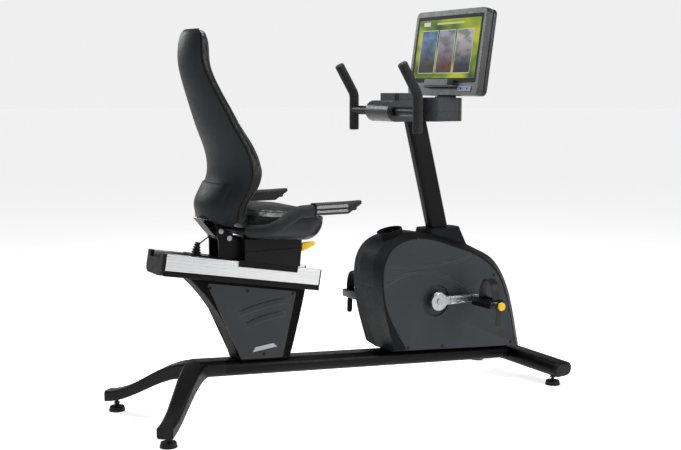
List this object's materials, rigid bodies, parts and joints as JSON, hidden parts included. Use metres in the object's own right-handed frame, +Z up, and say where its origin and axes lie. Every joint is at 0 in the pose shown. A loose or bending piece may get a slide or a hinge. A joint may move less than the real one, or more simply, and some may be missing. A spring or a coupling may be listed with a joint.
{
  "type": "recumbent exercise bike",
  "caption": "Recumbent exercise bike with a low frame, a padded seat sliding on sloping rails, spinning cranks and a leaning touch screen on a mast.",
  "frame": {"origin": "on the floor, at the middle of the footprint", "axes": "+X forward towards the screen, +Y to the rider's left, +Z up"},
  "size_m": [1.7416, 0.6104, 1.4752],
  "materials": {
    "frame_paint": "satin",
    "casting_paint": "fine texture",
    "rail_aluminium": "bright anodised",
    "bright_steel": "polished",
    "crank_metal": "satin",
    "flywheel_iron": "machined",
    "shell_plastic": "fine texture",
    "trim_plastic": "matte",
    "console_plastic": "fine texture",
    "monitor_plastic": "satin",
    "screen": "lit display",
    "foam": "foam",
    "upholstery": "padded vinyl",
    "yellow_plastic": "gloss",
    "pedal_plastic": "matte",
    "foot_rubber": "matte",
    "belt_rubber": "matte",
    "badge_metal": "brushed"
  },
  "bodies": {
    "frame": {"bearings": "bright_steel", "console_base_lower": "console_plastic", "console_base_upper": "console_plastic", "cover_screws": "badge_metal", "drive_belt": "belt_rubber", "drive_frame": "frame_paint", "front_stabilizer": "frame_paint", "handlebar": "frame_paint", "handlebar_grips": "foam", "lock_rack": "frame_paint", "main_beam": "frame_paint", "mast": "frame_paint", "monitor_back": "monitor_plastic", "monitor_frame": "monitor_plastic", "pedestal_badge": "badge_metal", "pedestal_cover_left": "shell_plastic", "pedestal_cover_right": "shell_plastic", "pedestal_frame": "frame_paint", "rail_end_caps": "trim_plastic", "rail_left": "rail_aluminium", "rail_right": "rail_aluminium", "rail_tray": "frame_paint", "rear_stabilizer": "casting_paint", "screen_glass": "screen", "shroud_left": "shell_plastic", "shroud_right": "shell_plastic", "shroud_spine": "shell_plastic", "socket_panel": "trim_plastic", "stabilizer_end_caps": "trim_plastic", "tablet_shelf": "trim_plastic"},
    "crank": {"crank_axle": "bright_steel", "crank_arm_right": "crank_metal", "crank_arm_left": "crank_metal", "crank_bolts": "bright_steel", "drive_pulley": "trim_plastic"},
    "flywheel": {"flywheel": "flywheel_iron"},
    "pedal_right": {"pedal_right": "pedal_plastic"},
    "pedal_left": {"pedal_left": "pedal_plastic"},
    "carriage": {"carriage_frame": "frame_paint", "carriage_cover": "trim_plastic", "bracket_cover": "trim_plastic", "backrest_bracket": "frame_paint", "bracket_bolts": "bright_steel", "backrest_shell": "shell_plastic", "backrest_cushion": "upholstery", "seat_shell": "shell_plastic", "seat_cushion": "upholstery", "seat_handle": "frame_paint", "handle_sleeves": "foam", "sensor_grips": "trim_plastic", "sensor_plates": "bright_steel", "sensor_cable": "belt_rubber", "cable_boot": "foam"},
    "roller_rear": {"roller_axle_rear": "trim_plastic"},
    "roller_front": {"roller_axle_front": "trim_plastic"},
    "lever": {"seat_lever": "yellow_plastic"},
    "foot_rear_right": {"leveling_foot_rear_right": "foot_rubber"},
    "foot_rear_left": {"leveling_foot_rear_left": "foot_rubber"},
    "foot_front_right": {"leveling_foot_front_right": "foot_rubber"},
    "foot_front_left": {"leveling_foot_front_left": "foot_rubber"}
  },
  "joints": [
    {"name": "crank_spin", "type": "hinge", "parent": "frame", "child": "crank", "pos_m": [0.34134, 0, 0.358], "axis": [0, 1, 0], "continuous": true},
    {"name": "flywheel_spin", "type": "hinge", "parent": "frame", "child": "flywheel", "pos_m": [0.57634, 0, 0.285], "axis": [0, 1, 0], "continuous": true},
    {"name": "pedal_right_spin", "type": "hinge", "parent": "crank", "child": "pedal_right", "pos_m": [0.51134, -0.208, 0.358], "axis": [0, 1, 0], "continuous": true},
    {"name": "pedal_left_spin", "type": "hinge", "parent": "crank", "child": "pedal_left", "pos_m": [0.17134, 0.208, 0.358], "axis": [0, 1, 0], "continuous": true},
    {"name": "seat_slide", "type": "slide", "parent": "frame", "child": "carriage", "axis": [0.986, 0, -0.1668], "range_m": [-0.1, 0.085]},
    {"name": "roller_rear_spin", "type": "hinge", "parent": "carriage", "child": "roller_rear", "pos_m": [-0.4557, 0, 0.53538], "axis": [0, 1, 0], "range_deg": [-400, 340]},
    {"name": "roller_front_spin", "type": "hinge", "parent": "carriage", "child": "roller_front", "pos_m": [-0.27822, 0, 0.50536], "axis": [0, 1, 0], "range_deg": [-400, 340]},
    {"name": "lever_pull", "type": "hinge", "parent": "carriage", "child": "lever", "pos_m": [-0.25566, -0.06, 0.596], "axis": [0, -1, 0], "range_deg": [0, 15], "stiffness_Nm_per_rad": 1.5, "springref_deg": -10.03},
    {"name": "foot_rear_right_height", "type": "slide", "parent": "frame", "child": "foot_rear_right", "axis": [0, 0, -1], "range_m": [0, 0.012]},
    {"name": "foot_rear_left_height", "type": "slide", "parent": "frame", "child": "foot_rear_left", "axis": [0, 0, -1], "range_m": [0, 0.012]},
    {"name": "foot_front_right_height", "type": "slide", "parent": "frame", "child": "foot_front_right", "axis": [0, 0, -1], "range_m": [0, 0.012]},
    {"name": "foot_front_left_height", "type": "slide", "parent": "frame", "child": "foot_front_left", "axis": [0, 0, -1], "range_m": [0, 0.012]}
  ],
  "couplings": [
    {"joint": "flywheel_spin", "follows": "crank_spin", "ratio": 4.4},
    {"joint": "roller_rear_spin", "follows": "seat_slide", "rad_per_m": 68.493},
    {"joint": "roller_front_spin", "follows": "seat_slide", "rad_per_m": 68.493}
  ]
}
